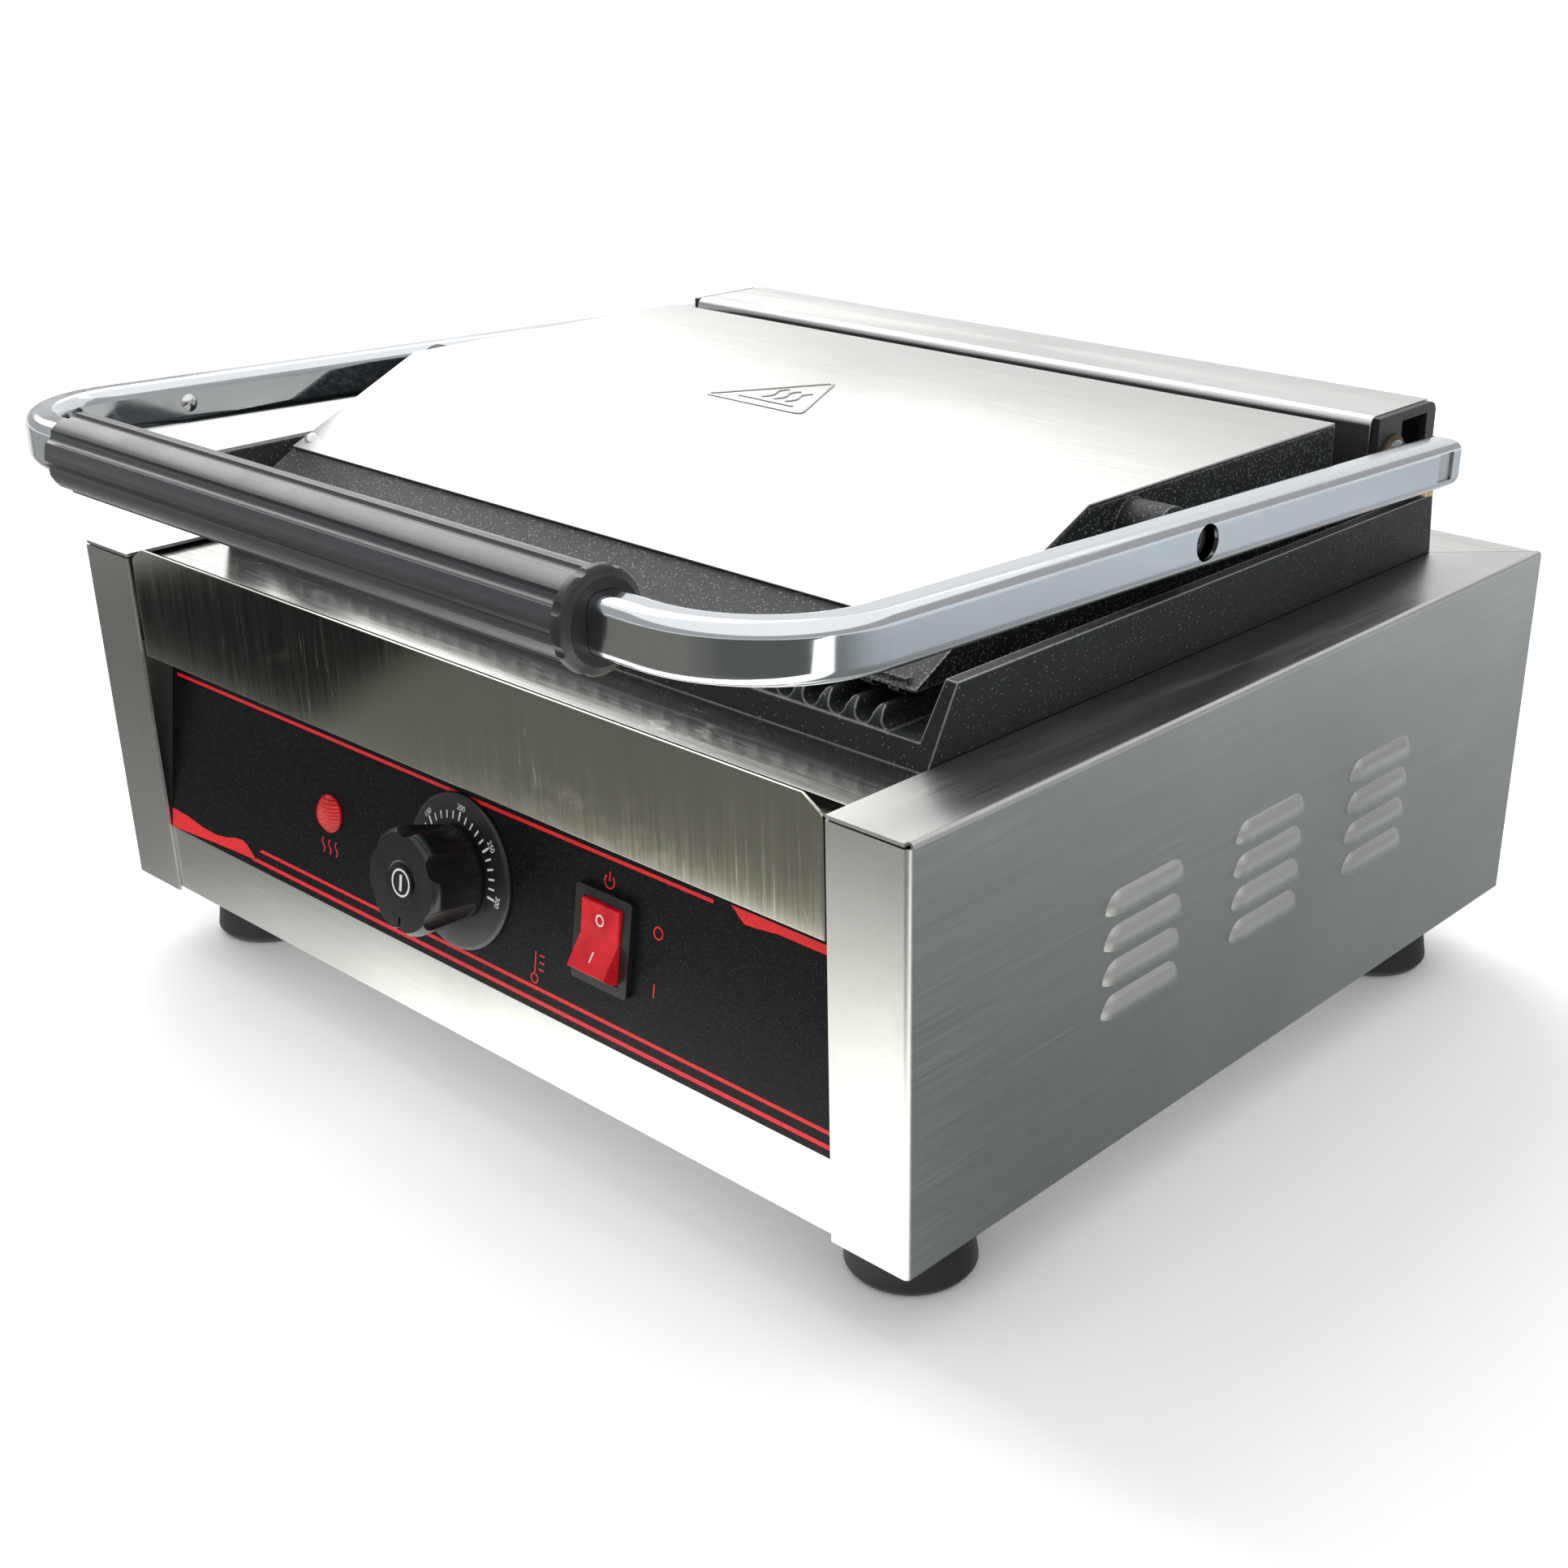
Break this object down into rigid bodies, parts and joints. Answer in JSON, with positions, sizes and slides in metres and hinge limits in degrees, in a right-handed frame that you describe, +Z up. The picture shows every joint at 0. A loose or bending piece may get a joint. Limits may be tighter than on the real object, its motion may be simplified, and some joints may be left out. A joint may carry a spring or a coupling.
{
  "type": "panini press",
  "caption": "Countertop contact grill with grooved cast plates, a floating lid on a U-shaped handle, a thermostat knob, a rocker switch and a drip tray.",
  "frame": {"origin": "bottom centre of the overall box: on the table under the middle of the case's width, midway between the grip's front and the cord gland's rear", "axes": "+X to the right seen from the front, +Y from the handle's grip back to the rear panel, +Z up"},
  "size_m": [0.436, 0.428, 0.2385],
  "materials": {
    "brushed_stainless": "brushed along the panel, satin",
    "polished_stainless": "polished with fine scratches",
    "chromed_steel": "bright chrome",
    "plated_steel": "zinc plated",
    "yellow_zinc": "yellow passivated zinc",
    "cast_iron_plate": "enamelled casting, machined grooves",
    "heater_sheath": "heat tinted sheath",
    "mineral_wool": "pressed mineral fibre",
    "black_enamel_steel": "black powder coat",
    "spring_steel": "oiled spring steel",
    "panel_black_film": "black film with fine sparkle and red lines",
    "black_plastic": "satin black",
    "grip_plastic": "fine grained grey",
    "black_rubber": "matte",
    "red_lens": "clear red",
    "red_rocker": "translucent red",
    "ceramic_white": "glazed ceramic",
    "bronze": "sintered bronze",
    "copper": "drawn copper"
  },
  "bodies": {
    "case": {"side_panel_left": "brushed_stainless", "side_panel_right": "brushed_stainless", "rear_panel": "brushed_stainless", "base_plate": "plated_steel", "deck_plate": "polished_stainless", "control_panel": "brushed_stainless", "panel_film": "panel_black_film", "tray_runners": "plated_steel", "foot_front_left": "black_rubber", "foot_front_right": "black_rubber", "foot_rear_left": "black_rubber", "foot_rear_right": "black_rubber", "foot_screws": "plated_steel", "lower_plate": "cast_iron_plate", "lower_heater": "heater_sheath", "lower_heater_clamp": "plated_steel", "lower_insulation": "mineral_wool", "lower_heat_shield": "plated_steel", "thermostat_body": "ceramic_white", "thermostat_bulb": "copper", "dial_ring": "black_plastic", "lamp_lens": "red_lens", "lamp_body": "black_plastic", "switch_frame": "black_plastic", "terminal_block": "ceramic_white", "cord_gland": "black_plastic", "gland_nut": "black_plastic", "rear_screws": "plated_steel", "hinge_cover": "brushed_stainless", "hinge_bracket_left": "black_enamel_steel", "hinge_bracket_right": "black_enamel_steel", "axle_bushes": "bronze", "counter_spring_left": "spring_steel", "counter_spring_right": "spring_steel", "bracket_screws": "plated_steel"},
    "tray": {"drip_tray": "polished_stainless"},
    "knob": {"thermostat_knob": "black_plastic", "knob_cap": "plated_steel", "thermostat_spindle": "plated_steel"},
    "rocker": {"switch_rocker": "red_rocker"},
    "handle": {"handle_tube": "chromed_steel", "handle_grip": "grip_plastic", "grip_collar": "black_plastic", "axle": "plated_steel", "arm_set_screws": "yellow_zinc", "arm_dome_screws": "chromed_steel"},
    "lid": {"upper_plate": "cast_iron_plate", "lid_cover": "brushed_stainless", "upper_heater": "heater_sheath", "upper_heater_clamp": "plated_steel", "upper_insulation": "mineral_wool", "pivot_bolts": "plated_steel", "cover_screws": "chromed_steel"}
  },
  "joints": [
    {"name": "handle_hinge", "type": "hinge", "parent": "case", "child": "handle", "pos_m": [0, 0.1405, 0.2115], "axis": [-1, 0, 0], "range_deg": [0, 80], "stiffness_Nm_per_rad": 6, "springref_deg": 97.4},
    {"name": "lid_tilt", "type": "hinge", "parent": "handle", "child": "lid", "pos_m": [0, -0.01041, 0.21662], "axis": [-1, 0, 0], "range_deg": [-8, 0]},
    {"name": "knob_turn", "type": "hinge", "parent": "case", "child": "knob", "pos_m": [0.002, -0.15757, 0.093], "axis": [0, 0.9866, -0.1633], "range_deg": [0, 280]},
    {"name": "rocker_tilt", "type": "hinge", "parent": "case", "child": "rocker", "pos_m": [0.0778, -0.15789, 0.09234], "axis": [1, 0, 0], "range_deg": [0, 24]},
    {"name": "tray_slide", "type": "slide", "parent": "case", "child": "tray", "axis": [0, -1, 0], "range_m": [0, 0.06]}
  ],
  "couplings": [
    {"joint": "lid_tilt", "follows": "handle_hinge", "ratio": -0.1}
  ]
}
